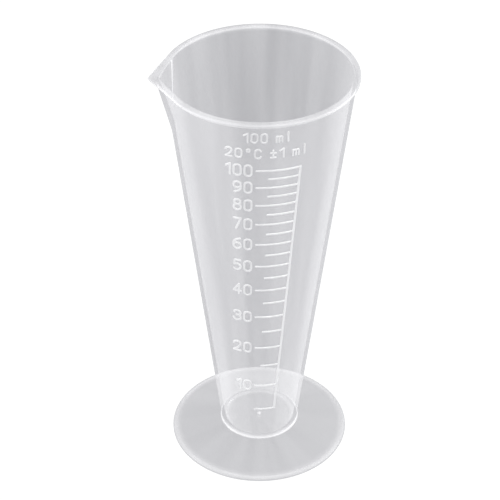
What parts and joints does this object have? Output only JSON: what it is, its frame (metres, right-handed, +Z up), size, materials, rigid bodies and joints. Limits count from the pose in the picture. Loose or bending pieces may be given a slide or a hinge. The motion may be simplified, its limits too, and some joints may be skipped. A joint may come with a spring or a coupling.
{
  "type": "conical graduated measure",
  "caption": "Tall tapered measuring cup in translucent plastic, with a beaded rim, a pouring lip, a raised scale and a round dished foot.",
  "frame": {"origin": "on the cup's axis, in the plane that the foot's rounded edge rests on", "axes": "+Z up along the cup's axis, the pouring lip points to -X, and the scale faces -Y"},
  "size_m": [0.0581, 0.0548, 0.126],
  "materials": {
    "moulding": "natural translucent polypropylene, smooth moulded surface with a soft sheen",
    "raised_marks": "the same polypropylene, a little whiter where the raised strokes are thicker"
  },
  "bodies": {
    "root": {"cup_wall": "moulding", "pouring_lip": "moulding", "cup_floor": "moulding", "gate_mark": "moulding", "rim_bead": "moulding", "lip_bead": "moulding", "foot_edge_bead": "moulding", "foot_disc": "moulding", "stem_fillet": "moulding", "scale_spine": "raised_marks", "major_graduations": "raised_marks", "minor_graduations": "raised_marks", "numeral_10": "raised_marks", "numeral_20": "raised_marks", "numeral_30": "raised_marks", "numeral_40": "raised_marks", "numeral_50": "raised_marks", "numeral_60": "raised_marks", "numeral_70": "raised_marks", "numeral_80": "raised_marks", "numeral_90": "raised_marks", "numeral_100": "raised_marks", "capacity_legend": "raised_marks", "tolerance_legend": "raised_marks"}
  },
  "joints": []
}
